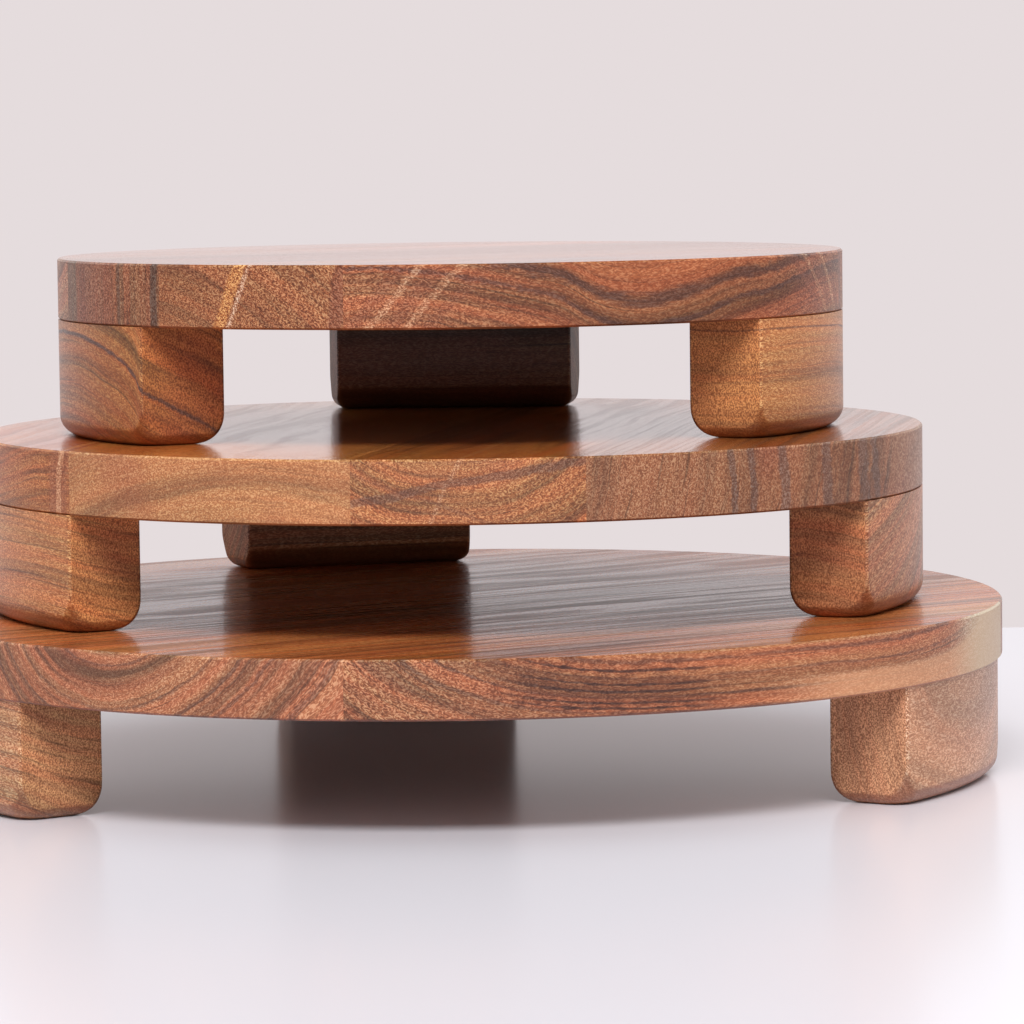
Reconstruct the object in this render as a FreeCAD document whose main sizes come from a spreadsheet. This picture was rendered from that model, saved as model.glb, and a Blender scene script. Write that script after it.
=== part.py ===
import FreeCAD, Part, Sketcher
import math
import os
from FreeCAD import Vector

# A tiered cake stand: three loose round stands of solid acacia, stacked with the smallest on top.
# Each stand is a board of edge-glued staves on three block legs, and each leg hangs from its board
# by glue and two hidden dowels.  Millimetres, +Z up.  The origin lies on the table, on the axis that
# the three boards share, and the front of the stack looks along -Y.

os.makedirs("parts", exist_ok=True)

TIERS = ["bottom", "middle", "top"]      # from the table upwards
LEGS = ["front_left", "front_right", "back"]

# ---------------------------------------------------------------------------------- driving sizes
SIZES = {
    # boards: nominal 14, 12 and 10 inches across
    "bottom_board_radius": 177.8,
    "middle_board_radius": 152.4,
    "top_board_radius": 127.0,
    "bottom_board_thickness": 18.0,
    "middle_board_thickness": 19.6,
    "top_board_thickness": 19.5,
    "arris_width": 0.6,                  # corner sanded off every board, top and bottom
    # direction of the staves, turned from +X towards +Y
    "bottom_grain_angle": 36.0,
    "middle_grain_angle": 80.0,
    "top_grain_angle": 33.0,
    # glue joints: distance of each from the axis, square to the staves, from the front to the back
    "bottom_joint_1": -126.0,
    "bottom_joint_2": 2.0,
    "bottom_joint_3": 62.0,
    "bottom_joint_4": 121.0,
    "middle_joint_1": -68.3,
    "middle_joint_2": -0.6,
    "middle_joint_3": 94.9,
    "top_joint_1": -88.3,
    "top_joint_2": -31.0,
    "top_joint_3": 30.0,
    "top_joint_4": 87.0,
    # legs
    "bottom_leg_height": 36.8,
    "middle_leg_height": 36.7,
    "top_leg_height": 37.0,
    "bottom_leg_inset": 1.0,             # from the board's rim to the leg's curved outer face
    "middle_leg_inset": 0.0,
    "top_leg_inset": 0.0,
    "leg_width": 87.5,                   # chord between the two outer corners
    "leg_end_flare": 7.8,                # degrees by which each end face turns from parallel
    "leg_end_round": 4.2,                # rounding under the two end faces
    "leg_outer_round": 6.0,              # rounding under the curved outer face
    "leg_inner_round": 9.0,              # rounding under the flat inner face
    "leg_corner_round": 1.2,             # rounding of the four upright corners
    # depth of each leg from its outer corners to its flat inner face
    "bottom_front_left_leg_depth": 28.8,
    "bottom_front_right_leg_depth": 26.6,
    "bottom_back_leg_depth": 26.3,
    "middle_front_left_leg_depth": 24.2,
    "middle_front_right_leg_depth": 25.5,
    "middle_back_leg_depth": 26.3,
    "top_front_left_leg_depth": 28.3,
    "top_front_right_leg_depth": 24.5,
    "top_back_leg_depth": 25.5,
    # place of each leg, turned about the axis from the front (-Y), to the right
    "bottom_front_left_leg_angle": -60.9,
    "bottom_front_right_leg_angle": 66.9,
    "bottom_back_leg_angle": 189.0,
    "middle_front_left_leg_angle": -65.4,
    "middle_front_right_leg_angle": 75.3,
    "middle_back_leg_angle": 197.6,
    "top_front_left_leg_angle": -67.2,
    "top_front_right_leg_angle": 70.5,
    "top_back_leg_angle": 181.2,
    # hidden dowels, two to a leg
    "dowel_diameter": 8.0,
    "dowel_length": 32.0,
    "dowel_depth_in_board": 12.0,
    "dowel_spacing": 44.0,
    "dowel_inset": 14.0,                 # from the leg's inner face to the dowels' centres
    "dowel_glue_gap": 0.1,               # room for glue round the dowel
    "dowel_end_gap": 0.5,                # room for glue over the dowel's upper end
}

CUT_MARGIN = 6.0                         # how far a cutting solid reaches past what it cuts
STAVE_REACH = 1.5                        # a stave's cutting box reaches this many board radii out
TOUCH = 1e-6                             # levels closer than this are the same level

doc = FreeCAD.newDocument("tiered_cake_stand")


def make_sheet(sizes):
    """The spreadsheet of driving sizes: a name and a number on each row, the number's alias its name."""
    sheet = doc.addObject("Spreadsheet::Sheet", "Sizes")
    for row, (name, value) in enumerate(sizes.items(), start=1):
        sheet.set("A%d" % row, name)
        sheet.set("B%d" % row, str(value))
        sheet.setAlias("B%d" % row, name)
    doc.recompute()
    return sheet


def size(name):
    """A driving size as it is written in an expression."""
    assert name in SIZES, name
    return "Sizes." + name


def joint_count(tier):
    """How many glue joints a tier's board has."""
    return sum(1 for name in SIZES if name.startswith(tier + "_joint_"))


# ---------------------------------------------------------------------------- levels of each tier
def base_level(tier):
    """Expression for the height that a tier's legs stand on."""
    below = TIERS[:TIERS.index(tier)]
    terms = [size(t + "_leg_height") + " + " + size(t + "_board_thickness") for t in below]
    return " + ".join(terms) if terms else "0"


def board_level(tier):
    """Expression for the height of a board's underside."""
    return base_level(tier) + " + " + size(tier + "_leg_height")


def turned(angle, offset_x, offset_y, level):
    """Placement expression: a shift in a frame that is turned about the stack's axis."""
    turn = "rotation(vector(0; 0; 1); %s)" % angle
    shift = "vector(%s; %s; %s)" % (offset_x, offset_y, level)
    return "placement(vector(0; 0; 0); %s) * placement(%s; rotation(vector(0; 0; 1); 0))" % (turn, shift)


# ----------------------------------------------------------------------------------- drawing tools
def plane_of(body, role):
    """One of a body's own origin planes."""
    return [f for f in body.Origin.OriginFeatures if f.Role == role][0]


def new_sketch(body, name):
    """An empty sketch on the body's XY plane."""
    sketch = body.newObject("Sketcher::SketchObject", name)
    sketch.AttachmentSupport = (plane_of(body, "XY_Plane"), [""])
    sketch.MapMode = "FlatFace"
    return sketch


def drive(sketch, constraint, expression):
    """Bind one dimension of a sketch to an expression of the driving sizes."""
    sketch.setExpression("Constraints[%d]" % constraint, expression)


def hold_point(sketch, geometry, point, across, along):
    """Hold a sketch point at a place given by two expressions."""
    place = sketch.getPoint(geometry, point)
    index = sketch.addConstraint(Sketcher.Constraint("DistanceX", -1, 1, geometry, point, place.x))
    drive(sketch, index, across)
    if along is not None:
        index = sketch.addConstraint(Sketcher.Constraint("DistanceY", -1, 1, geometry, point, place.y))
        drive(sketch, index, along)


def join_ends(sketch, first, second):
    """Join the end of one sketch curve to the start of the next."""
    sketch.addConstraint(Sketcher.Constraint("Coincident", first, 2, second, 1))


def pad(body, sketch, length):
    """Raise a sketch to a solid of the height that the expression gives."""
    feature = body.newObject("PartDesign::Pad", sketch.Name + "_pad")
    feature.Profile = sketch
    feature.setExpression("Length", length)
    doc.recompute()
    return feature


def edges_where(shape, wanted):
    """Names of a shape's edges that a test accepts."""
    return ["Edge%d" % (i + 1) for i, edge in enumerate(shape.Edges) if wanted(edge)]


def chamfer(body, base, wanted, width):
    """Take the corner off the edges of the base feature that a test accepts."""
    feature = body.newObject("PartDesign::Chamfer", base.Name + "_bevel")
    feature.Base = (base, edges_where(base.Shape, wanted))
    feature.setExpression("Size", width)
    doc.recompute()
    return feature


def is_circle(edge):
    return isinstance(edge.Curve, Part.Circle)


# ------------------------------------------------------------------------------------------ boards
def make_disc(tier):
    """A tier's round board as one disc with its corners sanded off."""
    body = doc.addObject("PartDesign::Body", tier + "_disc")
    sketch = new_sketch(body, tier + "_disc_outline")
    radius = SIZES[tier + "_board_radius"]
    circle = sketch.addGeometry(Part.Circle(Vector(0, 0, 0), Vector(0, 0, 1), radius))
    sketch.addConstraint(Sketcher.Constraint("Coincident", circle, 3, -1, 1))
    index = sketch.addConstraint(Sketcher.Constraint("Radius", circle, radius))
    drive(sketch, index, size(tier + "_board_radius"))
    slab = pad(body, sketch, size(tier + "_board_thickness"))
    chamfer(body, slab, is_circle, size("arris_width"))
    body.setExpression("Placement", turned("0", "0", "0", board_level(tier)))
    return body


def make_staves(tier, board):
    """Saw a tier's drilled board into its staves, along its glue joints."""
    reach = "%s * %s" % (STAVE_REACH, size(tier + "_board_radius"))
    joints = [size("%s_joint_%d" % (tier, n + 1)) for n in range(joint_count(tier))]
    limits = ["-(%s)" % reach] + joints + [reach]
    staves = []
    for n in range(len(limits) - 1):
        near, far = limits[n], limits[n + 1]
        box = doc.addObject("Part::Box", "%s_stave_%d_strip" % (tier, n + 1))
        box.setExpression("Length", "2 * %s" % reach)
        box.setExpression("Width", "%s - (%s)" % (far, near))
        box.setExpression("Height", "%s + 2 * %s" % (size(tier + "_board_thickness"), CUT_MARGIN))
        level = "%s - %s" % (board_level(tier), CUT_MARGIN)
        box.setExpression("Placement", turned(size(tier + "_grain_angle"), "-(%s)" % reach, near, level))
        stave = doc.addObject("Part::Common", "%s_stave_%d" % (tier, n + 1))
        stave.Base = board
        stave.Tool = box
        staves.append(stave)
    return staves


# -------------------------------------------------------------------------------------------- legs
def leg_radius(tier):
    """Expression for the radius of a leg's curved outer face."""
    return "(%s - %s)" % (size(tier + "_board_radius"), size(tier + "_leg_inset"))


def outer_corner(tier):
    """Expression for how far in front of the axis a leg's outer corners lie."""
    return "sqrt(%s ^ 2 - (%s / 2) ^ 2)" % (leg_radius(tier), size("leg_width"))


def inner_face(tier, leg):
    """Expression for how far in front of the axis a leg's flat inner face lies."""
    return "(%s - %s)" % (outer_corner(tier), size("%s_%s_leg_depth" % (tier, leg)))


def half_width_at(tier, distance):
    """Expression for half a leg's width at a distance in front of the axis."""
    return "(%s / 2 + (%s - %s) * tan(%s))" % (
        size("leg_width"), distance, outer_corner(tier), size("leg_end_flare"))


def make_leg_ends(tier, leg):
    """The block between a leg's two flared end faces."""
    name = "%s_%s_leg_ends" % (tier, leg)
    body = doc.addObject("PartDesign::Body", name)
    sketch = new_sketch(body, name + "_outline")
    outer = "(%s + %s)" % (leg_radius(tier), CUT_MARGIN)
    inner = "(%s - %s)" % (inner_face(tier, leg), CUT_MARGIN)
    wide, narrow = half_width_at(tier, outer), half_width_at(tier, inner)
    radius = SIZES[tier + "_board_radius"]
    depth = SIZES["%s_%s_leg_depth" % (tier, leg)]
    half = SIZES["leg_width"] / 2
    start = [
        Vector(-half, -radius, 0),
        Vector(half, -radius, 0),
        Vector(half, depth - radius, 0),
        Vector(-half, depth - radius, 0),
    ]
    places = [("-" + wide, "-" + outer), (wide, "-" + outer), (narrow, "-" + inner), ("-" + narrow, "-" + inner)]
    for n in range(4):
        sketch.addGeometry(Part.LineSegment(start[n], start[(n + 1) % 4]))
    for n in range(4):
        join_ends(sketch, n, (n + 1) % 4)
    for n, (across, along) in enumerate(places):
        hold_point(sketch, n, 1, across, along)
    pad(body, sketch, size(tier + "_leg_height"))
    body.setExpression("Placement", turned(size("%s_%s_leg_angle" % (tier, leg)), "0", "0", base_level(tier)))
    return body


def make_leg_sides(tier, leg):
    """The slice between a leg's curved outer face and flat inner face."""
    name = "%s_%s_leg_sides" % (tier, leg)
    body = doc.addObject("PartDesign::Body", name)
    sketch = new_sketch(body, name + "_outline")
    half = "(%s / 2 + %s)" % (size("leg_width"), CUT_MARGIN)
    inner = inner_face(tier, leg)
    radius = SIZES[tier + "_board_radius"] - SIZES[tier + "_leg_inset"]
    reach = SIZES["leg_width"] / 2 + CUT_MARGIN
    depth = radius - SIZES["%s_%s_leg_depth" % (tier, leg)]
    spread = math.asin(reach / radius)
    front = math.radians(-90)
    rim = Part.ArcOfCircle(Part.Circle(Vector(0, 0, 0), Vector(0, 0, 1), radius), front - spread, front + spread)
    corner = Vector(reach, -radius * math.cos(spread), 0)
    mirrored = Vector(-corner.x, corner.y, 0)
    sketch.addGeometry(rim)
    sketch.addGeometry(Part.LineSegment(corner, Vector(reach, -depth, 0)))
    sketch.addGeometry(Part.LineSegment(Vector(reach, -depth, 0), Vector(-reach, -depth, 0)))
    sketch.addGeometry(Part.LineSegment(Vector(-reach, -depth, 0), mirrored))
    for n in range(4):
        join_ends(sketch, n, (n + 1) % 4)
    sketch.addConstraint(Sketcher.Constraint("Coincident", 0, 3, -1, 1))
    index = sketch.addConstraint(Sketcher.Constraint("Radius", 0, radius))
    drive(sketch, index, leg_radius(tier))
    hold_point(sketch, 0, 1, "-" + half, None)
    hold_point(sketch, 0, 2, half, None)
    hold_point(sketch, 2, 1, half, "-" + inner)
    hold_point(sketch, 2, 2, "-" + half, "-" + inner)
    pad(body, sketch, size(tier + "_leg_height"))
    body.setExpression("Placement", turned(size("%s_%s_leg_angle" % (tier, leg)), "0", "0", base_level(tier)))
    return body


def radial_share(edge):
    """How nearly an edge runs towards the axis, seen from above: 1 along a radius, 0 across it."""
    start, end = (vertex.Point for vertex in edge.Vertexes)
    run = end - start
    middle = (start + end) / 2
    middle.z = run.z
    return abs(run.dot(middle)) / (run.Length * middle.Length)


def rounding_of(edge, shape):
    """The name of the size that rounds an edge of a leg's blank, or None where it stays sharp."""
    if edge.BoundBox.ZLength > TOUCH:
        return "leg_corner_round"
    if edge.BoundBox.ZMax > shape.BoundBox.ZMin + TOUCH:
        return None
    if is_circle(edge):
        return "leg_outer_round"
    return "leg_end_round" if radial_share(edge) > 0.5 else "leg_inner_round"


def make_leg(tier, leg, drill):
    """One leg: its ends and sides meet, its edges are rounded, and it is drilled for its dowels."""
    blank = doc.addObject("Part::Common", "%s_%s_leg_blank" % (tier, leg))
    blank.Base = make_leg_ends(tier, leg)
    blank.Tool = make_leg_sides(tier, leg)
    doc.recompute()
    rounded = doc.addObject("Part::Fillet", "%s_%s_leg_rounded" % (tier, leg))
    rounded.Base = blank
    roundings = [rounding_of(edge, blank.Shape) for edge in blank.Shape.Edges]
    rounded.Edges = [(n + 1, doc.Sizes.get(name), doc.Sizes.get(name))
                     for n, name in enumerate(roundings) if name]
    drilled = doc.addObject("Part::Cut", "%s_leg_%s" % (tier, leg))
    drilled.Base = rounded
    drilled.Tool = drill
    return drilled


# ------------------------------------------------------------------------------------------ dowels
def make_peg(name, tier, leg, side, widening, over):
    """An upright cylinder where a dowel stands, wider than it and reaching over it as asked."""
    peg = doc.addObject("Part::Cylinder", name)
    peg.setExpression("Radius", "%s / 2 + %s" % (size("dowel_diameter"), widening))
    peg.setExpression("Height", "%s + %s" % (size("dowel_length"), over))
    across = "%d * %s / 2" % (side, size("dowel_spacing"))
    along = "-(%s + %s)" % (inner_face(tier, leg), size("dowel_inset"))
    foot = "%s + %s - %s" % (board_level(tier), size("dowel_depth_in_board"), size("dowel_length"))
    angle = size("%s_%s_leg_angle" % (tier, leg))
    peg.setExpression("Placement", turned(angle, across, along, foot))
    return peg


def make_dowels(tier, leg):
    """A leg's two dowels, as one group of separate solids."""
    group = doc.addObject("Part::Compound", "%s_dowels_%s" % (tier, leg))
    group.Links = [
        make_peg("%s_%s_dowel_%d" % (tier, leg, n + 1), tier, leg, side, "0", "0")
        for n, side in enumerate((-1, 1))
    ]
    return group


def make_drill(tier, leg):
    """What drilling for a leg's dowels takes away, from the leg and from the board above it."""
    drill = doc.addObject("Part::MultiFuse", "%s_%s_drilling" % (tier, leg))
    drill.Shapes = [
        make_peg("%s_%s_hole_%d" % (tier, leg, n + 1), tier, leg, side,
                 size("dowel_glue_gap"), size("dowel_end_gap"))
        for n, side in enumerate((-1, 1))
    ]
    return drill


# ----------------------------------------------------------------------------------- the assembly
def make_tier(tier):
    """One stand: its staves, its three legs and their dowels."""
    drills = {leg: make_drill(tier, leg) for leg in LEGS}
    drilling = doc.addObject("Part::MultiFuse", tier + "_board_drilling")
    drilling.Shapes = list(drills.values())
    board = doc.addObject("Part::Cut", tier + "_board")
    board.Base = make_disc(tier)
    board.Tool = drilling
    legs = [make_leg(tier, leg, drills[leg]) for leg in LEGS]
    dowels = [make_dowels(tier, leg) for leg in LEGS]
    return make_staves(tier, board) + legs + dowels


def check_document():
    """Stop if anything in the document failed."""
    for thing in doc.Objects:
        for state in ("Invalid", "Error"):
            if state in thing.State:
                raise RuntimeError("%s is %s" % (thing.Name, thing.State))


def check_solid(node, solids):
    """Stop if a sub-part is not the sound solids that it should be."""
    shape = node.Shape
    if shape.isNull() or not shape.isValid():
        raise RuntimeError("%s has no sound shape" % node.Label)
    if len(shape.Solids) != solids:
        raise RuntimeError("%s has %d solids" % (node.Label, len(shape.Solids)))
    if any(solid.Volume <= 0 for solid in shape.Solids):
        raise RuntimeError("%s has an empty solid" % node.Label)


make_sheet(SIZES)
nodes = [node for tier in TIERS for node in make_tier(tier)]
doc.recompute()
check_document()
for node in nodes:
    node.Label = node.Name
    check_solid(node, 2 if "_dowels_" in node.Name else 1)
for node in nodes:
    node.Shape.exportStep("parts/%s.step" % node.Label)
    print("%-28s %10.1f mm3" % (node.Label, node.Shape.Volume))
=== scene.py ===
"""Looks, floor, light and camera for a stack of three round acacia cake stands.

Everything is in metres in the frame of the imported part.  The wood is solid: each stave and each leg
has its own piece of a log, described in millimetres by where the log's centre lay and which growth
rings are dark, and its figure runs through it from face to face.
"""
import math

import bmesh
import bpy
from mathutils import Matrix, Vector


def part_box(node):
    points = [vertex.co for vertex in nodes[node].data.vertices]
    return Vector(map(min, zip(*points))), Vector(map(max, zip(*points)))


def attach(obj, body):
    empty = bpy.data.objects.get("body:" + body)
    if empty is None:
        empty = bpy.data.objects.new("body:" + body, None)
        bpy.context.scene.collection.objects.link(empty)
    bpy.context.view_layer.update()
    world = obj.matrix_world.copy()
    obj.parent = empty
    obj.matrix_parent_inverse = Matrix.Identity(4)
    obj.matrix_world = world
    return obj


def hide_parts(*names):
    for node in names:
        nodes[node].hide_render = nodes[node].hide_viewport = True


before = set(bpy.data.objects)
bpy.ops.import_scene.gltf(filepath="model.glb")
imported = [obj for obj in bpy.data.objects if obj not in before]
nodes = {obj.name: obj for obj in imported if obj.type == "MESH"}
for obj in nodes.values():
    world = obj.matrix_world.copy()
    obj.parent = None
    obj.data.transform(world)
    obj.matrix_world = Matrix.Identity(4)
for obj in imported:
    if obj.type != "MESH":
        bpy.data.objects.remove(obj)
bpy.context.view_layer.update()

TIERS = ["bottom", "middle", "top"]
LEGS = ["front_left", "front_right", "back"]
MM = 1000.0                                  # millimetres in a metre
PIECE_HEIGHT = 20.0                          # a stave's thickness, roughly, in millimetres


def rgb(red, green, blue):
    """A linear colour with alpha from the 0-255 numbers in which colours are usually written."""
    def linear(value):
        value /= 255.0
        return value / 12.92 if value <= 0.04045 else ((value + 0.055) / 1.055) ** 2.4
    return (linear(red), linear(green), linear(blue), 1.0)


# ------------------------------------------------------------------------------------ shader nodes
class Shading:
    """The node tree of one new material, with a short call for each kind of node used here."""

    def __init__(self, name):
        self.material = bpy.data.materials.new(name)
        self.material.use_nodes = True
        self.tree = self.material.node_tree
        self.tree.nodes.clear()

    def feed(self, socket, value):
        """Link another node's socket to this one, or set it to a plain value."""
        if isinstance(value, bpy.types.NodeSocket):
            self.tree.links.new(value, socket)
        else:
            socket.default_value = value

    def node(self, kind, inputs=None, **settings):
        made = self.tree.nodes.new("ShaderNode" + kind)
        for name, value in settings.items():
            setattr(made, name, value)
        for name, value in (inputs or {}).items():
            self.feed(made.inputs[name], value)
        return made

    def math(self, operation, *values, clamp=False):
        inputs = dict(enumerate(values))
        return self.node("Math", inputs, operation=operation, use_clamp=clamp).outputs[0]

    def vector(self, operation, *values):
        inputs = dict(enumerate(values))
        made = self.node("VectorMath", inputs, operation=operation)
        return made.outputs["Value" if operation in ("DOT_PRODUCT", "LENGTH") else "Vector"]

    def scaled(self, vector, factors):
        return self.vector("MULTIPLY", vector, factors)

    def finer(self, vector, length, breadth):
        """A place counted in lengths along the grain and in breadths across it."""
        return self.scaled(vector, (1 / length, 1 / breadth, 1 / breadth))

    def join(self, x, y, z):
        return self.node("CombineXYZ", {"X": x, "Y": y, "Z": z}).outputs[0]

    def split(self, vector):
        return self.node("SeparateXYZ", {"Vector": vector}).outputs[:]

    def noise(self, place, detail=2.0, roughness=0.5, output="Fac"):
        """Smooth noise whose features are about one unit of place apart."""
        inputs = {"Vector": place, "Scale": 1.0, "Detail": detail, "Roughness": roughness}
        return self.node("TexNoise", inputs).outputs[output]

    def ease(self, value, start, end, low=0.0, high=1.0):
        """Smooth step of value from low at start to high at end."""
        inputs = {"Value": value, "From Min": start, "From Max": end, "To Min": low, "To Max": high}
        return self.node("MapRange", inputs, interpolation_type="SMOOTHSTEP").outputs[0]

    def mix(self, factor, first, second, blend="MIX"):
        made = self.node("Mix", data_type="RGBA", blend_type=blend)
        self.feed(made.inputs[0], factor)
        self.feed(made.inputs[6], first)
        self.feed(made.inputs[7], second)
        return made.outputs[2]

    def ramp(self, factor, stops):
        """Colours at places from 0 to 1."""
        made = self.node("ValToRGB", {"Fac": factor})
        elements = made.color_ramp.elements
        while len(elements) < len(stops):
            elements.new(0.5)
        for element, (place, colour) in zip(elements, stops):
            element.position = place
            element.color = colour
        return made.outputs[0]

    def curve(self, value, points):
        """A smooth curve through (value, result) points."""
        places = [p for p, _ in points]
        results = [r for _, r in points]
        low, high = min(places), max(places)
        floor, top = min(results), max(results)
        unit = self.node("MapRange", {"Value": value, "From Min": low, "From Max": high}).outputs[0]
        made = self.node("FloatCurve", {"Value": unit})
        curve = made.mapping.curves[0]
        for index, (place, result) in enumerate(sorted(points)):
            spot = ((place - low) / (high - low), (result - floor) / (top - floor))
            if index < 2:
                curve.points[index].location = spot
            else:
                curve.points.new(*spot)
        made.mapping.update()
        return self.math("MULTIPLY_ADD", made.outputs[0], top - floor, floor)

    def finish(self, surface):
        """Join the surface to the material's output, and return the material."""
        self.node("OutputMaterial", {"Surface": surface})
        return self.material


# -------------------------------------------------------------------------------------------- wood
BASE = (175, 110, 74)                        # the usual wood, 0-255
SHADE = 0.965                                # all base colours' share of what is written
STREAK = rgb(78, 48, 40)
RED = rgb(150, 72, 48)
HUE_RED = (1.02, 0.9, 0.88, 1.0)
HUE_NONE = (1.0, 1.0, 1.0, 1.0)
HUE_TAN = (0.96, 1.06, 1.06, 1.0)
FLECK_PALE = (1.75, 2.8, 3.8, 1.0)           # how much lighter the palest flecks are
FLECK_NONE = (1.0, 1.0, 1.0, 1.0)
FLECK_DARK = (0.32, 0.22, 0.18, 1.0)         # how much darker the wood between them is
SAWN_PALE = (1.5, 1.75, 1.9, 1.0)            # torn fibres on a sawn end
SAWN_PLAIN = (1.0, 1.0, 0.98, 1.0)
SAWN_DARK = (0.5, 0.42, 0.4, 1.0)            # open pores between them
PAINTED_TOP_LIGHT = (1.5, 1.25, 0.8, 1.0)             # painted light and reflection on the upper faces: lighter and more orange, as if lit from above and mirroring the rims
PAINTED_ARRIS_HIGHLIGHT = (1.15, 1.35, 1.5, 1.0)                # painted highlight on the arrises between the upper faces and the rims
PAINTED_UNDER_SHADE = (0.6, 0.47, 0.42, 1.0)               # painted shade on the faces that look downwards under the roundings, partly also their smoother oil finish

# the figure's sizes, in millimetres
SLOW_LENGTH, SLOW_BREADTH = 150.0, 50.0      # along and across the grain of the fibres' slow sway
QUICK_LENGTH, QUICK_BREADTH = 24.0, 8.0      # and of their quick one
QUICK_SWAY = 1.2                             # how far the quick one moves them
RING_WIDTH = 7.0
LINE_WIDTH = 1.5                             # of the fine lines between the rings
CREASE_WIDTH = 0.9                           # of the thin dark lines
HUE_WIDTH = 4.0                              # of the rings' slow change of hue
PATCH_LENGTH, PATCH_BREADTH = 120.0, 28.0
RAGGED_LENGTH, RAGGED_BREADTH = 20.0, 1.6    # of the unevenness of bands and veins
RAGGED_VEIN = 1.2                            # how far a vein's edges stray
SAP_EDGE = 2.5                               # over which heartwood turns into sapwood
FLECK_SIZE = 0.36
FLECK_RUN = 3.5                              # a fleck's length along the grain, in its sizes
FLECK_DEPTH = 1.5                            # its breadth round the pith, in its sizes

# how the wood is finished
LINE_TONE = 0.4                              # the fine lines' share of the tone, beside the rings'
CREASE_SHADE = 0.5
END_SHADE = 0.8                              # of the darker end grain
END_DARK = 0.15
TOP_LESS = -0.8                              # how much weaker sapwood is on the upper faces
SAP_LESS = -0.8                              # and flecks in sapwood
UNDER_LESS = -0.5                            # and flecks under the roundings
LONG_ROUGH, END_ROUGH, ARRIS_ROUGH = 0.38, 0.45, 0.26
SAWN_ROUGHER = 0.3
FLECK_SMOOTHER = -0.3                        # the palest flecks are smoother than the wood between
LACQUER_IOR = 1.5
COAT_WEIGHT, COAT_ROUGHNESS = 0.15, 0.08
BUMP_STRENGTH, BUMP_DISTANCE = 0.3, 0.0002
SHARP_ANGLE = math.radians(60)               # faces that meet at more than this keep a sharp edge


def tint(base, factor):
    """A colour of the wood as a lighter or darker shade of its base colour."""
    return rgb(*(min(255.0, SHADE * factor * part) for part in base))


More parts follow.
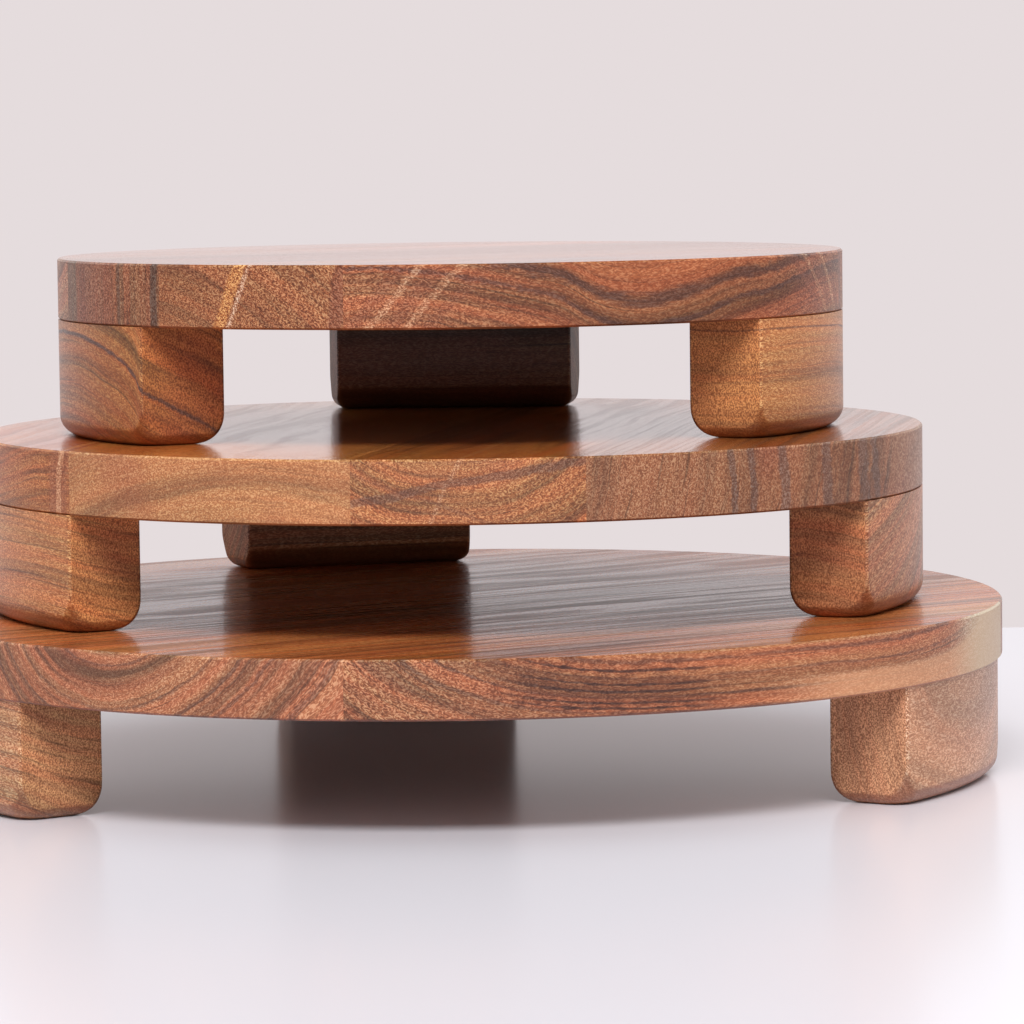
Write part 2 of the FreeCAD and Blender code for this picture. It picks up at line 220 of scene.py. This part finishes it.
def wood(name, turn, origin, figure):
    """Solid wood whose grain runs along +X turned by an angle, its places measured from origin.

    figure holds what sets one piece of wood apart from the next, in millimetres: pith, the place of
    the log's centre across the grain and up; middle, the place across the grain of the piece itself;
    wander, how far the rings stray along the grain; slope, how steeply the grain rises; sway, how far
    the fibres stray; bands, dark or pale rings as (radius, width, colour, strength); veins, streaks
    across the rings as (across, up, lean, width, colour, strength); sapwood as (radius, colour,
    strength), where bands and sapwood may end in ranges along the grain over which they fade in;
    and base, the wood's own colour, with how strongly each part of the figure shows.
    """
    get = figure.get
    shade = Shading(name)
    coordinates = shade.node("TexCoord")
    place = shade.scaled(coordinates.outputs["Object"], (MM, MM, MM))
    place = shade.vector("SUBTRACT", place, [MM * v for v in origin])
    place = shade.node(
        "VectorRotate", {"Vector": place, "Angle": -turn}, rotation_type="Z_AXIS"
    ).outputs[0]

    # the fibres sway slowly and quickly, square to the grain
    slow = shade.noise(shade.finer(place, SLOW_LENGTH, SLOW_BREADTH), 1.0, output="Color")
    quick = shade.noise(shade.finer(place, QUICK_LENGTH, QUICK_BREADTH), 1.0, output="Color")
    slow_sway = get("sway", 6.0)
    slow = shade.vector("SUBTRACT", slow, (0.5, 0.5, 0.5))
    quick = shade.vector("SUBTRACT", quick, (0.5, 0.5, 0.5))
    swayed = shade.vector("ADD", place, shade.scaled(slow, (0.0, slow_sway, slow_sway)))
    swayed = shade.vector("ADD", swayed, shade.scaled(quick, (0.0, QUICK_SWAY, QUICK_SWAY)))
    along, across, up = shade.split(swayed)
    if "slope" in figure:
        up = shade.math("MULTIPLY_ADD", along, figure["slope"], up)

    normal = coordinates.outputs["Normal"]
    facing_up = shade.split(normal)[2]
    top = shade.ease(facing_up, 0.85, 0.98)

    # rings round the pith
    pith_across, pith_up = figure["pith"]
    from_pith = shade.join(0.0, shade.math("SUBTRACT", across, pith_across),
                           shade.math("SUBTRACT", up, pith_up))
    radius = shade.vector("LENGTH", from_pith)
    middle = Vector((0.0, get("middle", 0.0) - pith_across, 0.5 * PIECE_HEIGHT - pith_up))
    outwards = shade.vector("DOT_PRODUCT", from_pith, middle.normalized())
    square_to_it = Vector((1.0, 0.0, 0.0)).cross(middle.normalized())
    sideways = shade.vector("DOT_PRODUCT", from_pith, square_to_it)
    arc = shade.math("MULTIPLY", shade.math("ARCTAN2", sideways, outwards), middle.length)
    if "wander" in figure:
        radius = shade.math("SUBTRACT", radius, shade.curve(along, figure["wander"]))

    def ring_noise(width, length, turn_length, detail):
        return shade.noise(shade.join(
            shade.math("DIVIDE", radius, width), shade.math("DIVIDE", along, length),
            shade.math("DIVIDE", arc, turn_length)), detail, 0.55)

    # growth rings, uneven in width and tone
    rings = ring_noise(RING_WIDTH, 300.0, 90.0, 2.0)
    lines = ring_noise(LINE_WIDTH, 120.0, 40.0, 2.0)
    tone = shade.math("MULTIPLY", rings, 1.0 - LINE_TONE)
    tone = shade.math("MULTIPLY_ADD", lines, LINE_TONE, tone)
    base = get("base", BASE)
    contrast = get("contrast", 0.18)
    colour = shade.ramp(tone, [(0.38, tint(base, 1.0 - 1.8 * contrast)), (0.5, tint(base, 1.0)),
                               (0.62, tint(base, 1.0 + 0.7 * contrast))])

    # thin dark lines along some of the rings, and a slow change of hue from ring to ring
    crease = shade.ease(ring_noise(CREASE_WIDTH, 90.0, 30.0, 1.0), 0.40, 0.28)
    crease = shade.math("MULTIPLY", crease, get("crease", 0.6))
    colour = shade.mix(crease, colour, tint(base, CREASE_SHADE))
    hue = ring_noise(HUE_WIDTH, 200.0, 60.0, 1.0)
    hue = shade.ramp(hue, [(0.38, HUE_RED), (0.5, HUE_NONE), (0.62, HUE_TAN)])
    colour = shade.mix(get("hues", 1.0), colour, hue, "MULTIPLY")

    # patches of another tint
    patches = shade.noise(shade.finer(place, PATCH_LENGTH, PATCH_BREADTH), 2.0)
    patch = shade.ease(patches, 0.5, 0.75, 0.0, get("patchy", 0.4))
    colour = shade.mix(patch, colour, RED)

    # named dark and pale rings
    ragged = shade.noise(shade.finer(place, RAGGED_LENGTH, RAGGED_BREADTH), 2.0)
    ragged = shade.math("SUBTRACT", ragged, 0.5)
    for band_radius, width, band_colour, strength, *limits in get("bands", []):
        off = shade.math("ABSOLUTE", shade.math("SUBTRACT", radius, band_radius))
        off = shade.math("MULTIPLY_ADD", ragged, 1.2 * width, off)
        mask = shade.ease(off, 0.1 * width, 0.7 * width, strength, 0.0)
        for start, end in limits:
            mask = shade.math("MULTIPLY", mask, shade.ease(along, start, end))
        colour = shade.mix(mask, colour, band_colour)

    # streaks that cross the rings: flat layers that hold the grain's direction
    for vein_across, vein_up, lean, width, vein_colour, strength in get("veins", []):
        lean = math.radians(lean)
        square = (0.0, -math.sin(lean), math.cos(lean))
        off = shade.vector("DOT_PRODUCT", shade.join(0.0, across, up), square)
        off = shade.math("ADD", off, vein_across * math.sin(lean) - vein_up * math.cos(lean))
        off = shade.math("MULTIPLY_ADD", ragged, RAGGED_VEIN, shade.math("ABSOLUTE", off))
        mask = shade.ease(off, 0.3 * width, 0.6 * width, strength, 0.0)
        colour = shade.mix(mask, colour, vein_colour)

    # pale sapwood outside the heartwood
    heartwood = 1.0
    for start, sap_colour, strength, *limits in get("sapwood", []):
        mask = shade.ease(radius, start, start + SAP_EDGE, 0.0, strength)
        for near, far in limits:
            mask = shade.math("MULTIPLY", mask, shade.ease(along, near, far))
        mask = shade.math("MULTIPLY", mask, shade.math("MULTIPLY_ADD", top, TOP_LESS, 1.0))
        colour = shade.mix(mask, colour, sap_colour)
        heartwood = shade.math(
            "MULTIPLY", heartwood, shade.math("MULTIPLY_ADD", mask, SAP_LESS, 1.0))

    # short pale flecks that follow the rings, with darker wood between them
    fleck_place = shade.join(
        shade.math("DIVIDE", radius, FLECK_SIZE),
        shade.math("DIVIDE", along, FLECK_RUN * FLECK_SIZE),
        shade.math("DIVIDE", arc, FLECK_DEPTH * FLECK_SIZE))
    stir = shade.noise(shade.scaled(fleck_place, (0.4, 0.4, 0.4)), 0.0, output="Color")
    stir = shade.scaled(shade.vector("SUBTRACT", stir, (0.5, 0.5, 0.5)), (2.5, 2.5, 2.5))
    fleck_noise = shade.noise(shade.vector("ADD", fleck_place, stir), 1.0, 0.5)
    flecks = shade.ramp(fleck_noise, [(0.4, FLECK_DARK), (0.48, FLECK_NONE),
                                      (0.54, FLECK_NONE), (0.6, FLECK_PALE)])
    grain_way = (math.cos(turn), math.sin(turn), 0.0)
    end_grain = shade.math("ABSOLUTE", shade.vector("DOT_PRODUCT", normal, grain_way))
    strength = shade.ease(end_grain, 0.1, 0.9, get("long_flecks", 0.4), get("end_flecks", 0.9))
    under = shade.ease(facing_up, -0.08, -0.3)
    strength = shade.math(
        "MULTIPLY", strength, shade.math("MULTIPLY_ADD", under, UNDER_LESS, 1.0))
    strength = shade.math("MULTIPLY", strength, heartwood)

    # rough sawn ends: torn pale fibres and open pores
    sawn = shade.ease(end_grain, 0.955, 0.98, 0.0, get("sawn", 0.0))
    strength = shade.math("MULTIPLY", strength, shade.math("SUBTRACT", 1.0, sawn))
    colour = shade.mix(strength, colour, flecks, "MULTIPLY")
    fibres = shade.noise(shade.scaled(place, (0.8, 2.4, 1.8)), 1.0, 0.6)
    fibres = shade.ramp(fibres, [(0.36, SAWN_DARK), (0.5, SAWN_PLAIN), (0.62, SAWN_PALE)])
    colour = shade.mix(sawn, colour, fibres, "MULTIPLY")

    # end grain is duller and darker and the upper faces are polished; the upper faces also carry painted
    # light, the arrises a painted highlight, and the downward faces painted shade
    arris = shade.math("SUBTRACT", shade.ease(facing_up, 0.15, 0.5), top)
    end_dark = shade.ease(end_grain, 0.3, 1.0, 0.0, END_DARK)
    colour = shade.mix(end_dark, colour, tint(base, END_SHADE))
    # painted light: the upper faces are made lighter and more orange
    colour = shade.mix(top, colour, PAINTED_TOP_LIGHT, "MULTIPLY")
    # painted highlight along the arrises
    colour = shade.mix(arris, colour, PAINTED_ARRIS_HIGHLIGHT, "MULTIPLY")
    # painted shade on the faces that look downwards
    colour = shade.mix(under, colour, PAINTED_UNDER_SHADE, "MULTIPLY")
    rough = shade.ease(end_grain, 0.4, 1.0, LONG_ROUGH, END_ROUGH)
    pale = shade.math("SUBTRACT", fleck_noise, 0.5)
    rough = shade.math("MULTIPLY_ADD", pale, FLECK_SMOOTHER, rough)
    rough = shade.math("MULTIPLY_ADD", sawn, SAWN_ROUGHER, rough)
    smooth = get("top_rough", 0.06)
    streaky = shade.ease(lines, 0.6, 0.38, smooth, 2.0 * smooth)
    for part, value in ((arris, ARRIS_ROUGH), (top, streaky)):
        rough = shade.math("MULTIPLY", rough, shade.math("SUBTRACT", 1.0, part))
        rough = shade.math("MULTIPLY_ADD", part, value, rough)
    bump = shade.node("Bump", {
        "Height": fleck_noise, "Strength": BUMP_STRENGTH, "Distance": BUMP_DISTANCE})
    surface = shade.node("BsdfPrincipled", {
        "Base Color": colour, "Roughness": rough, "Normal": bump.outputs[0], "IOR": LACQUER_IOR,
        "Coat Weight": COAT_WEIGHT, "Coat Roughness": COAT_ROUGHNESS})
    return shade.finish(surface.outputs[0])


def dress(piece, material):
    """Give a piece its one material, with smooth shading over its curved faces."""
    if not piece.material_slots:
        piece.data.materials.append(material)
    for material_slot in piece.material_slots:
        material_slot.material = material
    piece.data.polygons.foreach_set("use_smooth", [True] * len(piece.data.polygons))
    piece.data.set_sharp_from_angle(angle=SHARP_ANGLE)
    rounding = piece.modifiers.new("soft_arrises", "WEIGHTED_NORMAL")
    rounding.keep_sharp = True


# -------------------------------------------------------------------------------------------- legs
END_FLARE = math.radians(7.8)                # by which a leg's end faces turn from parallel
END_ROUND = 4.2 / MM                         # roundings under a leg's faces, as in the CAD part
OUTER_ROUND = 6.0 / MM
INNER_ROUND = 9.0 / MM
CORNER_ROUND = 1.2 / MM                      # rounding of the upright corners
OUTER_FOOT_ROUND = 6.8 / MM                  # what it widens to at the foot
INNER_FOOT_ROUND = 2.4 / MM
WIDENING = (12.0 / MM, 2.0 / MM)             # heights between which it widens
RIM_STEPS, CORNER_STEPS, FOOT_STEPS = 10, 8, 18
FACES_IN = -0.97                             # how squarely a leg's inner face looks to the middle


def undercut(rounding, height):
    """How far a face has drawn in at a height over the foot, for the rounding below it."""
    rest = max(0.0, rounding - height)
    return rounding - math.sqrt(rounding ** 2 - rest ** 2)


def arc(centre, radius, start, end, steps):
    """Points round a centre; angles are from a leg's outward direction towards its side."""
    angles = [start + (end - start) * n / steps for n in range(steps + 1)]
    return [centre + radius * Vector((math.sin(a), math.cos(a))) for a in angles]


def leg_outline(height, rim, end_reach, inner_reach):
    """A leg's outline at a height over its foot, as (sideways, outward) places."""
    share = min(1.0, max(0.0, (WIDENING[0] - height) / (WIDENING[0] - WIDENING[1])))
    share = share * share * (3.0 - 2.0 * share)
    outer_round = CORNER_ROUND + (OUTER_FOOT_ROUND - CORNER_ROUND) * share
    inner_round = CORNER_ROUND + (INNER_FOOT_ROUND - CORNER_ROUND) * share
    end_normal = Vector((math.cos(END_FLARE), -math.sin(END_FLARE)))
    along_end = Vector((math.sin(END_FLARE), math.cos(END_FLARE)))
    end = end_reach - undercut(END_ROUND, height)
    outer = rim - undercut(OUTER_ROUND, height)
    inner = inner_reach + undercut(INNER_ROUND, height) + inner_round
    off_end = end - outer_round
    off_middle = math.sqrt((outer - outer_round) ** 2 - off_end ** 2)
    outer_centre = end_normal * off_end + along_end * off_middle
    sideways = (end - inner_round + inner * math.sin(END_FLARE)) / math.cos(END_FLARE)
    contact = math.atan2(outer_centre.x, outer_centre.y)
    end_angle = math.radians(90) + END_FLARE
    half = arc(Vector((0.0, 0.0)), outer, 0.0, contact, RIM_STEPS)[:-1]
    half += arc(outer_centre, outer_round, contact, end_angle, CORNER_STEPS)
    half += arc(Vector((sideways, inner)), inner_round, end_angle, math.pi, CORNER_STEPS)
    return half + [Vector((-place.x, place.y)) for place in reversed(half[1:])]


def sanded_leg(node, body):
    """A leg sized from its CAD solid's faces, whose upright corners widen into worn rounds at the foot.

    It takes the solid's place in the picture, since the solid's foot has mitred corners.
    """
    cad = nodes[node].data
    low, high = (Vector(corner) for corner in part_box(node))
    outward = ((low + high) / 2).to_2d().normalized()
    inward_flats = [p for p in cad.polygons if p.normal.to_2d().dot(outward) < FACES_IN]
    facing = -max(inward_flats, key=lambda p: p.area).normal.to_2d().normalized()
    side = Vector((-facing.y, facing.x))
    places = [vertex.co.to_2d() for vertex in cad.vertices]
    end_normal = side * math.cos(END_FLARE) - facing * math.sin(END_FLARE)
    reaches = (max(p.length for p in places), max(p.dot(end_normal) for p in places),
               min(p.dot(facing) for p in places))
    turns = [math.radians(90) * n / FOOT_STEPS for n in range(FOOT_STEPS + 1)]
    heights = [WIDENING[0] * (1.0 - math.cos(turn)) for turn in turns]
    shape = bmesh.new()
    rings = []
    for height in heights + [high.z - low.z]:
        outline = [side * x + facing * y for x, y in leg_outline(height, *reaches)]
        rings.append([shape.verts.new((p.x, p.y, low.z + height)) for p in outline])
    for below, above in zip(rings, rings[1:]):
        for n in range(len(below)):
            shape.faces.new((below[n - 1], below[n], above[n], above[n - 1]))
    shape.faces.new(rings[0])
    shape.faces.new(rings[-1])
    bmesh.ops.recalc_face_normals(shape, faces=shape.faces)
    mesh = bpy.data.meshes.new(node + "_sanded")
    shape.to_mesh(mesh)
    shape.free()
    leg = bpy.data.objects.new(node + "_sanded", mesh)
    bpy.context.scene.collection.objects.link(leg)
    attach(leg, body)
    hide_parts(node)
    return leg


# how far each board's grain is turned from +X, in degrees, and how rough its upper face is
GRAIN_ANGLES = {"bottom": 36.0, "middle": 80.0, "top": 33.0}
TOP_ROUGH = {"bottom": 0.17, "middle": 0.08, "top": 0.04}

WOODS = {
    "top_stave_1": {
        "base": (160, 90, 54), "pith": (-93.6, -31.4), "middle": -108.0, "sway": 1.0,
        "wander": [(-127, 2.0), (-41, 2.2), (-15.5, -2.4), (0, -1.2), (15.7, 0.2), (28.5, 1.5),
                   (42, 0.7), (57, 0.3), (127, 0.0)],
        "veins": [(-95.0, 9.5, 118.0, 3.0, rgb(128, 66, 44), 0.35),
                  (-98.5, 9.5, 118.0, 1.6, rgb(208, 146, 104), 0.35),
                  (-102.5, 9.5, 118.0, 3.0, rgb(132, 70, 46), 0.3),
                  (-105.5, 9.5, 118.0, 1.4, rgb(208, 146, 104), 0.3),
                  (-109.5, 9.5, 118.0, 2.6, rgb(128, 66, 44), 0.25)],
        "bands": [(53.3, 3.4, STREAK, 0.75), (47.4, 1.6, STREAK, 0.75)]},
    "top_stave_2": {
        "base": (160, 92, 54), "pith": (-21.0, -45.0), "middle": -60.0, "sway": 2.0, "hues": 0.5,
        "contrast": 0.12, "crease": 0.35,
        "veins": [(-56.8, 9.5, 110.0, 4.0, rgb(196, 122, 66), 0.9),
                  (-60.0, 9.5, 110.0, 1.4, rgb(205, 150, 115), 0.6),
                  (-86.5, 5.0, 96.0, 4.0, rgb(120, 58, 40), 0.6)]},
    "top_stave_3": {
        "base": (156, 92, 58), "pith": (220.0, 12.0), "middle": 0.0, "sway": 1.0, "contrast": 0.14,
        "veins": [(-28.5, 10.0, 90.0, 3.2, rgb(78, 58, 46), 0.8),
                  (6.0, 10.0, 90.0, 26.0, rgb(136, 72, 50), 0.6),
                  (25.0, 10.0, 90.0, 10.0, rgb(100, 78, 58), 0.6),
                  (-11.0, 10.0, 90.0, 1.6, rgb(96, 62, 46), 0.7)]},
    "top_stave_4": {"base": (172, 104, 68), "pith": (60.0, 80.0), "middle": 60.0},
    "top_stave_5": {"base": (160, 96, 64), "pith": (110.0, -60.0), "middle": 105.0},
    "middle_stave_1": {
        "base": (154, 95, 61), "pith": (60.0, 35.0), "middle": -100.0, "contrast": 0.1, "hues": 0.35,
        "end_flecks": 0.6,
        "veins": [(place, 10.0, 88.0, width, rgb(98, 72, 62), 0.6) for place, width in
                  [(-108.0, 2.0), (-113.7, 2.0), (-121.8, 2.4), (-132.0, 2.4), (-140.8, 2.4),
                   (-143.6, 1.6)]]},
    "middle_stave_2": {
        "end_flecks": 0.7, "base": (173, 102, 58), "pith": (-30.0, 60.0), "middle": -35.0,
        "veins": [(-30.0, 13.5, 115.0, 1.4, rgb(205, 150, 110), 0.25),
                  (-47.0, 15.0, 170.0, 2.6, rgb(88, 58, 48), 0.6),
                  (-21.0, 8.0, 20.0, 1.2, rgb(88, 58, 48), 0.3)]},
    "middle_stave_3": {
        "base": (188, 121, 74), "pith": (30.0, -120.0), "middle": 45.0, "contrast": 0.1, "hues": 0.5,
        "crease": 0.25, "end_flecks": 0.45},
    "middle_stave_4": {
        "base": (182, 101, 54), "pith": (100.0, -80.0), "middle": 120.0, "contrast": 0.14,
        "end_flecks": 0.6,
        "veins": [(99.3, 8.0, 92.0, 8.0, rgb(150, 82, 52), 0.7),
                  (99.0, 6.0, 92.0, 2.2, rgb(206, 140, 98), 0.7)]},
    "bottom_stave_1": {
        "base": (163, 96, 60), "pith": (-175.0, 51.0), "middle": -150.0, "sway": 1.0,
        "bands": [(50.6, 1.2, STREAK, 0.5), (46.0, 0.9, STREAK, 0.6), (40.4, 1.0, STREAK, 0.5),
                  (35.5, 1.4, STREAK, 0.6), (44.0, 17.0, rgb(96, 46, 26), 0.6, (-100, -75), (-15, -45))]
                 + [(place, 0.9, rgb(52, 28, 24), 0.8, (-100, -75), (-15, -40))
                    for place in (38.0, 42.2, 44.3, 47.6, 49.2)],
        "sapwood": [(42.5, rgb(212, 150, 108), 0.8, (-15, 25)),
                    (36.0, rgb(206, 176, 140), 0.9, (70, 100))]},
    "bottom_stave_2": {
        "base": (169, 102, 67), "pith": (-60.5, 44.7), "middle": -60.0, "sway": 1.0,
        "contrast": 0.2, "end_flecks": 0.55,
        "bands": [(30.8, 1.0, STREAK, 0.6), (43.5, 1.2, STREAK, 0.5), (49.8, 1.2, STREAK, 0.6),
                  (56.0, 1.2, STREAK, 0.6), (69.5, 1.6, STREAK, 0.6)]},
    "bottom_stave_3": {"base": (172, 106, 74), "pith": (30.0, -60.0), "middle": 32.0},
    "bottom_stave_4": {"base": (165, 102, 70), "pith": (90.0, 70.0), "middle": 92.0},
    "bottom_stave_5": {"base": (176, 110, 74), "pith": (150.0, -60.0), "middle": 150.0},
}
LEG_WOOD = {"base": (186, 124, 84), "pith": (-60.0, -50.0), "middle": -140.0, "sawn": 1.0}
DOWEL_WOOD = {"base": (206, 176, 132), "pith": (-60.0, -50.0)}
LEG_WOODS = {
    "top_leg_back": {"base": (120, 80, 54)},
    "top_leg_front_left": {
        "base": (170, 100, 52), "pith": (-240.0, -180.0), "middle": -115.0, "sway": 1.5,
        "wander": [(-60, 4.0), (-15, 2.1), (3, 1.4), (21, -1.0), (32, -2.9), (39.5, -6.1), (42, -9.0),
                   (60, -14.0)],
        "bands": [(240.0, 1.5, (0.05, 0.03, 0.03, 1.0), 0.8)]},
    "top_leg_front_right": {
        "base": (198, 126, 72), "pith": (-110.0, 400.0), "middle": -115.0, "contrast": 0.1,
        "long_flecks": 0.35, "hues": 0.6, "crease": 0.3,
        "wander": [(-60, 1.0), (-43, 0.0), (0, 0.5), (45, 4.0)],
        "bands": [(367.0, 0.7, STREAK, 0.6)]},
    "middle_leg_front_left": {
        "base": (197, 122, 70), "pith": (-100.0, 160.0), "middle": -140.0, "contrast": 0.12},
    "middle_leg_front_right": {
        "base": (184, 114, 72), "pith": (-130.0, -30.0), "middle": -140.0, "slope": -0.45,
        "long_flecks": 0.6, "contrast": 0.12, "crease": 0.3, "sway": 3.0},
    "bottom_leg_front_left": {
        "base": (192, 128, 84), "pith": (-120.0, 140.0), "middle": -165.0, "contrast": 0.12,
        "long_flecks": 0.5},
    "bottom_leg_front_right": {
        "base": (200, 138, 100), "pith": (-250.0, 40.0), "middle": -165.0, "sway": 4.0, "contrast": 0.06,
        "crease": 0.15, "hues": 0.3, "patchy": 0.1},
}

for tier in TIERS:
    board_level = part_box(tier + "_stave_1")[0][2]
    turn = math.radians(GRAIN_ANGLES[tier])
    for stave in sorted(n for n in nodes if n.startswith(tier + "_stave_")):
        figure = {**WOODS[stave], "top_rough": TOP_ROUGH[tier]}
        dress(nodes[stave], wood(stave, turn, (0.0, 0.0, board_level), figure))
    for leg in LEGS:
        node = tier + "_leg_" + leg
        low, high = (Vector(corner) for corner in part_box(node))
        centre = (low + high) / 2
        facing = math.atan2(centre.x, -centre.y)
        figure = {**LEG_WOOD, **LEG_WOODS.get(node, {})}
        dress(sanded_leg(node, tier + "_stand"), wood(node, facing, (0.0, 0.0, low.z), figure))
        dowels = tier + "_dowels_" + leg
        dress(nodes[dowels], wood(dowels, 0.0, (0.0, 0.0, 0.0), DOWEL_WOOD))


# ------------------------------------------------------------------------------ floor and backdrop
WALL = rgb(229, 220, 221)
ROOM = rgb(96, 84, 80)                       # in front, where only reflections see it
WHITE = (1.0, 1.0, 1.0, 1.0)
ROOM_ENDS, WALL_BEGINS = 0.15, 0.85          # how far backwards a reflection looks, from 0 to 1
TABLE = rgb(248, 246, 254)
TABLE_ROUGHNESS, TABLE_IOR = 0.22, 1.5
STACK_MIDDLE = 0.1                           # the height that the lamp looks at
TABLE_BACK = 0.40                            # the table's far edge
TABLE_REACH = 2.5                            # how far it runs to the other three sides


def table_top():
    """A pale, slightly glossy table top, plain and with its far edge behind the stack."""
    mesh = bpy.data.meshes.new("table_top")
    corners = [(-TABLE_REACH, -TABLE_REACH, 0.0), (TABLE_REACH, -TABLE_REACH, 0.0),
               (TABLE_REACH, TABLE_BACK, 0.0), (-TABLE_REACH, TABLE_BACK, 0.0)]
    mesh.from_pydata(corners, [], [(0, 1, 2, 3)])
    table = bpy.data.objects.new("table_top", mesh)
    bpy.context.scene.collection.objects.link(table)
    shade = Shading("table_top")
    surface = shade.node("BsdfPrincipled", {
        "Base Color": TABLE, "Roughness": TABLE_ROUGHNESS, "IOR": TABLE_IOR})
    mesh.materials.append(shade.finish(surface.outputs[0]))


def world_light(strength):
    """Even light from all round, a pale wall, and a dim room in front that only reflections see."""
    world = bpy.data.worlds.new("studio")
    bpy.context.scene.world = world
    world.use_nodes = True
    tree = world.node_tree
    tree.nodes.clear()

    def background(strength, colour):
        made = tree.nodes.new("ShaderNodeBackground")
        made.inputs["Strength"].default_value = strength
        made.inputs["Color"].default_value = colour
        return made.outputs[0]

    def mix(factor, first, second):
        made = tree.nodes.new("ShaderNodeMixShader")
        for socket, value in zip(made.inputs, (factor, first, second)):
            tree.links.new(value, socket)
        return made.outputs[0]

    split = tree.nodes.new("ShaderNodeSeparateXYZ")
    tree.links.new(tree.nodes.new("ShaderNodeTexCoord").outputs["Generated"], split.inputs[0])
    behind = tree.nodes.new("ShaderNodeMapRange")
    behind.interpolation_type = "SMOOTHSTEP"
    behind.inputs["From Min"].default_value = ROOM_ENDS
    behind.inputs["From Max"].default_value = WALL_BEGINS
    tree.links.new(split.outputs["Y"], behind.inputs["Value"])
    wall = background(1.0, WALL)
    reflected = mix(behind.outputs[0], background(1.0, ROOM), wall)
    path = tree.nodes.new("ShaderNodeLightPath")
    light = mix(path.outputs["Is Glossy Ray"], background(strength, WHITE), reflected)
    light = mix(path.outputs["Is Transmission Ray"], light, wall)
    light = mix(path.outputs["Is Camera Ray"], light, wall)
    output = tree.nodes.new("ShaderNodeOutputWorld")
    tree.links.new(light, output.inputs["Surface"])


def soft_box(name, azimuth, elevation, distance, width, height, power):
    """A soft rectangular lamp that looks at the stack; azimuth is from the front, to the right."""
    lamp = bpy.data.lights.new(name, "AREA")
    lamp.shape = "RECTANGLE"
    lamp.size = width
    lamp.size_y = height
    lamp.energy = power
    stand = bpy.data.objects.new(name, lamp)
    turn, tilt = math.radians(azimuth), math.radians(elevation)
    way = Vector((math.sin(turn) * math.cos(tilt), -math.cos(turn) * math.cos(tilt), math.sin(tilt)))
    stand.location = way * distance + Vector((0.0, 0.0, STACK_MIDDLE))
    stand.rotation_euler = way.to_track_quat("Z", "Y").to_euler()
    bpy.context.scene.collection.objects.link(stand)


table_top()
world_light(strength=0.58)
soft_box("key", azimuth=0.0, elevation=44.0, distance=5.0, width=3.2, height=1.1, power=208.0)


# ------------------------------------------------------------------------------------------ camera
CAMERA_PLACE = Vector((0.0466, -1.5496, 0.2108))
CAMERA_YAW = math.radians(-1.018)            # from +Y towards +X
CAMERA_PITCH = math.radians(4.722)           # downwards
CAMERA_ROLL = math.radians(-0.704)
CAMERA_LENS = 167.744                        # in millimetres, on the sensor below
CAMERA_SENSOR = 36.0


def make_camera():
    """The photograph's camera."""
    forward = Vector((math.sin(CAMERA_YAW) * math.cos(CAMERA_PITCH),
                      math.cos(CAMERA_YAW) * math.cos(CAMERA_PITCH),
                      -math.sin(CAMERA_PITCH)))
    level = Vector((math.cos(CAMERA_YAW), -math.sin(CAMERA_YAW), 0.0))
    upright = level.cross(forward)
    right = level * math.cos(CAMERA_ROLL) + upright * math.sin(CAMERA_ROLL)
    up = upright * math.cos(CAMERA_ROLL) - level * math.sin(CAMERA_ROLL)
    data = bpy.data.cameras.new("camera")
    data.lens = CAMERA_LENS
    data.sensor_width = CAMERA_SENSOR
    camera = bpy.data.objects.new("camera", data)
    facing = Matrix((right, up, -forward)).transposed().to_4x4()
    camera.matrix_world = Matrix.Translation(CAMERA_PLACE) @ facing
    bpy.context.scene.collection.objects.link(camera)
    bpy.context.scene.camera = camera


make_camera()
bpy.context.scene.view_settings.view_transform = "Standard"
